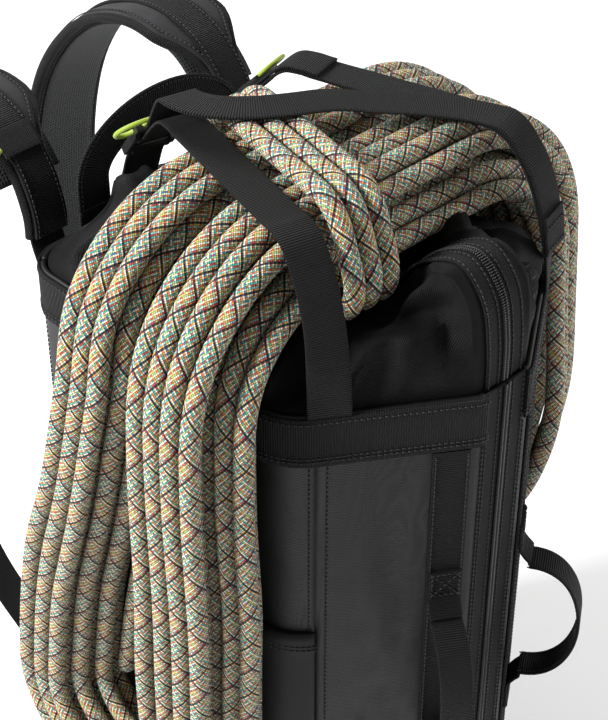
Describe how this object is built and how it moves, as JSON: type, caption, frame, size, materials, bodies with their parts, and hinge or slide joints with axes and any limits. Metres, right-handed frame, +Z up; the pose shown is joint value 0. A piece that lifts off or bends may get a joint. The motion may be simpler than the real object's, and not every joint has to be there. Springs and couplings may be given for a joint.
{
  "type": "rope storage bag",
  "caption": "Tall five-sided tarpaulin rucksack for arborist rope, with a front zip, soft collar, webbing handles, padded harness and a rope hank strapped over its top.",
  "frame": {"origin": "middle of the base, on the surface the bag stands on", "axes": "+Z up, -Y towards the zip ridge at the front, +Y towards the harness, X across the flat sides"},
  "size_m": [0.3416, 0.5491, 0.5828],
  "materials": {
    "tarp": "coated, satin",
    "webbing": "woven, matt",
    "collar_nylon": "ripstop, soft sheen",
    "zip_tape": "woven, matt",
    "zip_coil": "matt",
    "zip_metal": "satin",
    "buckle_plastic": "fine texture",
    "neon_cord": "braided",
    "spacer_mesh": "open mesh",
    "pad_cloth": "woven, matt",
    "rope": "braided, many colours"
  },
  "bodies": {
    "bag": {"base_panel": "tarp", "back_panel": "tarp", "side_panel_left": "tarp", "side_panel_right": "tarp", "front_panel_left": "tarp", "front_panel_right": "tarp", "side_pocket": "tarp", "rim_band": "webbing", "collar": "collar_nylon", "mouth_binding": "webbing", "zip_tape_left": "zip_tape", "zip_tape_right": "zip_tape", "zip_teeth_left": "zip_coil", "zip_teeth_right": "zip_coil", "collar_zip_left": "zip_tape", "collar_zip_right": "zip_tape", "collar_teeth": "zip_coil", "zip_strip_left": "webbing", "zip_strip_right": "webbing", "handle_patch_left": "webbing", "handle_patch_right": "webbing", "rope_strap_left": "webbing", "rope_strap_right": "webbing", "strap_tab_left": "webbing", "strap_tab_right": "webbing", "strap_tail_left": "webbing", "strap_tail_right": "webbing", "grab_anchors": "webbing", "shoulder_anchor_left": "webbing", "shoulder_anchor_right": "webbing", "lower_anchor_left": "webbing", "lower_anchor_right": "webbing", "rope": "rope"},
    "zip_slider": {"zip_slider": "zip_metal"},
    "zip_pull": {"zip_pull": "zip_metal"},
    "carry_handle_left": {"carry_handle_left": "webbing"},
    "carry_handle_right": {"carry_handle_right": "webbing"},
    "ladder_lock_left": {"ladder_lock_left": "buckle_plastic", "strap_turn_left": "webbing", "pull_loop_left": "neon_cord"},
    "ladder_lock_right": {"ladder_lock_right": "buckle_plastic", "strap_turn_right": "webbing", "pull_loop_right": "neon_cord"},
    "grab_handle": {"grab_handle": "webbing"},
    "shoulder_left": {"shoulder_strap_left": "pad_cloth", "shoulder_mesh_left": "spacer_mesh", "chest_tab": "webbing", "chest_loop": "neon_cord", "strap_adjuster_left": "buckle_plastic", "lower_webbing_left": "webbing"},
    "shoulder_right": {"shoulder_strap_right": "pad_cloth", "shoulder_mesh_right": "spacer_mesh", "strap_adjuster_right": "buckle_plastic", "lower_webbing_right": "webbing"}
  },
  "joints": [
    {"name": "zip_slide", "type": "slide", "parent": "bag", "child": "zip_slider", "axis": [0, 0, 1], "range_m": [0, 0.36]},
    {"name": "zip_pull_swing", "type": "hinge", "parent": "zip_slider", "child": "zip_pull", "pos_m": [0, -0.1501, 0.076], "axis": [-1, 0, 0], "range_deg": [0, 150]},
    {"name": "carry_handle_left_swing", "type": "hinge", "parent": "bag", "child": "carry_handle_left", "pos_m": [-0.03891, -0.14142, 0.276], "axis": [0, 0, 1], "range_deg": [-35, 35], "stiffness_Nm_per_rad": 0.05},
    {"name": "carry_handle_right_swing", "type": "hinge", "parent": "bag", "child": "carry_handle_right", "pos_m": [0.03891, -0.14142, 0.276], "axis": [0, 0, 1], "range_deg": [-35, 35], "stiffness_Nm_per_rad": 0.05},
    {"name": "ladder_lock_left_lift", "type": "hinge", "parent": "bag", "child": "ladder_lock_left", "pos_m": [-0.03552, 0.11399, 0.54], "axis": [-0.9658, 0.2592, 0], "range_deg": [0, 30], "stiffness_Nm_per_rad": 0.1},
    {"name": "ladder_lock_right_lift", "type": "hinge", "parent": "bag", "child": "ladder_lock_right", "pos_m": [0.03552, 0.11399, 0.54], "axis": [-0.9658, -0.2592, 0], "range_deg": [0, 30], "stiffness_Nm_per_rad": 0.1},
    {"name": "grab_handle_swing", "type": "hinge", "parent": "bag", "child": "grab_handle", "pos_m": [0, 0.1451, 0.4904], "axis": [1, 0, 0], "range_deg": [-25, 18], "stiffness_Nm_per_rad": 0.1},
    {"name": "shoulder_left_swing", "type": "hinge", "parent": "bag", "child": "shoulder_left", "pos_m": [-0.082, 0.162, 0.26], "axis": [0, 0, 1], "range_deg": [-10, 35], "stiffness_Nm_per_rad": 0.6},
    {"name": "shoulder_right_swing", "type": "hinge", "parent": "bag", "child": "shoulder_right", "pos_m": [0.082, 0.162, 0.26], "axis": [0, 0, -1], "range_deg": [-10, 35], "stiffness_Nm_per_rad": 0.6}
  ]
}
